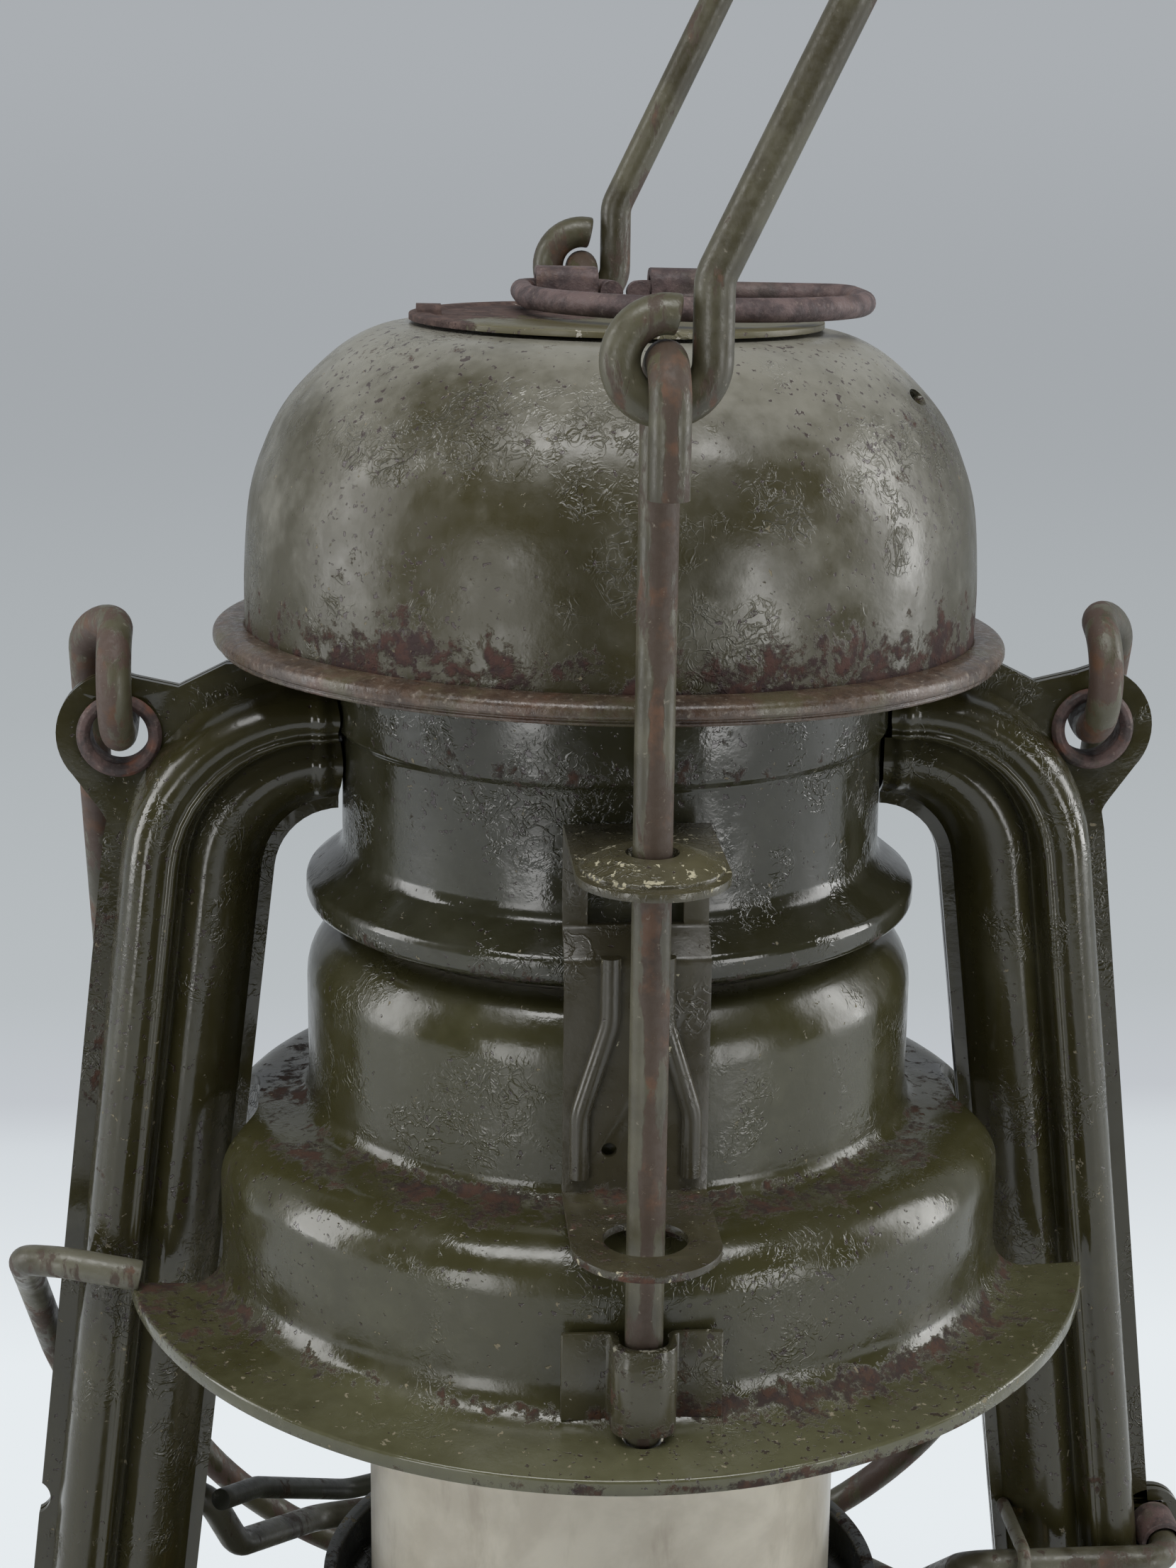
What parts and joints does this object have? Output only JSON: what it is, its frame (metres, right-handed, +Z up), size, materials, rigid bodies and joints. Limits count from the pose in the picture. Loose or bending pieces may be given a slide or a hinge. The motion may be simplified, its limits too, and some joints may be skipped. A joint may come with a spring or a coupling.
{
  "type": "blackout lantern",
  "caption": "Small storm lantern with tubular air frame, domed canopy, frosted globe and a stepped hood that slides down over the globe to hide its light; wire bails.",
  "frame": {"origin": "on the floor under the middle of the tank", "axes": "+Z up along the globe, -Y to the front, +X to the right as seen from the front"},
  "size_m": [0.1054, 0.0998, 0.257],
  "materials": {
    "olive_enamel": "aged semi-gloss dark olive enamel, wrinkled and chipped, with rust bloom at its creases",
    "rusted_steel": "pitted brown rust",
    "worn_wire": "round wire, worn paint over rusty steel",
    "bare_steel": "dull bare steel",
    "burner_brass": "dull aged brass",
    "wick_cotton": "woven cotton, scorched at its edge",
    "cork_seal": "dark oiled seal",
    "frosted_glass": "frosted, cream grey, nearly opaque"
  },
  "bodies": {
    "frame": {"tank_shell": "olive_enamel", "tank_bottom": "olive_enamel", "filler_neck": "olive_enamel", "filler_gasket": "cork_seal", "air_chamber": "olive_enamel", "burner_base": "burner_brass", "wick_tube": "burner_brass", "burner_cone": "burner_brass", "left_tube_front": "olive_enamel", "left_tube_back": "olive_enamel", "right_tube_front": "olive_enamel", "right_tube_back": "olive_enamel", "left_ear_eyelet": "rusted_steel", "right_ear_eyelet": "rusted_steel", "throat": "olive_enamel", "front_guide": "olive_enamel", "rear_guide": "olive_enamel", "lever_keeper": "worn_wire", "canopy_spring": "bare_steel"},
    "canopy": {"canopy_dome": "olive_enamel", "canopy_plate": "rusted_steel", "chimney_sleeve": "olive_enamel", "ring_strap_left": "rusted_steel", "ring_strap_right": "rusted_steel"},
    "ring": {"lift_ring": "rusted_steel"},
    "hood": {"hood_shell": "olive_enamel", "front_clip": "rusted_steel", "rear_clip": "rusted_steel", "front_rod": "worn_wire", "rear_rod": "worn_wire"},
    "hood_handle": {"hood_bail": "worn_wire"},
    "handle": {"carry_bail": "worn_wire"},
    "lever": {"lift_lever": "worn_wire", "lever_sleeve": "rusted_steel"},
    "carriage": {"globe": "frosted_glass", "globe_cup": "olive_enamel", "guard_wire": "worn_wire"},
    "knob": {"wick_knob": "burner_brass", "wick_shaft": "bare_steel", "wick_sprocket": "bare_steel"},
    "wick_strip": {"wick": "wick_cotton"},
    "fuel_cap": {"filler_cap": "olive_enamel"}
  },
  "joints": [
    {"name": "canopy_lift", "type": "slide", "parent": "frame", "child": "canopy", "axis": [0, 0, 1], "range_m": [0, 0.008], "stiffness_N_per_m": 300, "springref_m": -0.008, "deforming": ["canopy_spring"]},
    {"name": "ring_fold", "type": "hinge", "parent": "canopy", "child": "ring", "pos_m": [0.0066, 0.0106, 0.17655], "axis": [-1, 0, 0], "range_deg": [0, 100]},
    {"name": "hood_slide", "type": "slide", "parent": "frame", "child": "hood", "axis": [0, 0, 1], "range_m": [-0.022, 0]},
    {"name": "hood_bail_swing", "type": "hinge", "parent": "hood", "child": "hood_handle", "pos_m": [0, 0, 0.1763], "axis": [0, 1, 0], "range_deg": [-158, 107]},
    {"name": "carry_bail_swing", "type": "hinge", "parent": "frame", "child": "handle", "pos_m": [0, 0, 0.1459], "axis": [1, 0, 0], "range_deg": [0, 120]},
    {"name": "lever_turn", "type": "hinge", "parent": "frame", "child": "lever", "pos_m": [0.0504, 0, 0.0668], "axis": [0, -1, 0], "range_deg": [0, 13.4]},
    {"name": "globe_slide", "type": "slide", "parent": "frame", "child": "carriage", "axis": [0, 0, 1], "range_m": [-0.0114, 0]},
    {"name": "knob_turn", "type": "hinge", "parent": "frame", "child": "knob", "pos_m": [-0.00329, -0.0019, 0.0406], "axis": [0.5, -0.866, 0], "range_deg": [-137, 46]},
    {"name": "wick_slide", "type": "slide", "parent": "frame", "child": "wick_strip", "axis": [0, 0, 1], "range_m": [-0.006, 0.002]},
    {"name": "cap_turn", "type": "hinge", "parent": "frame", "child": "fuel_cap", "pos_m": [-0.0191, -0.03308, 0.0366], "axis": [0, 0, 1], "range_deg": [0, 540]}
  ],
  "couplings": [
    {"joint": "lever_turn", "follows": "globe_slide", "rad_per_m": -20.5},
    {"joint": "knob_turn", "follows": "wick_slide", "rad_per_m": 398}
  ]
}
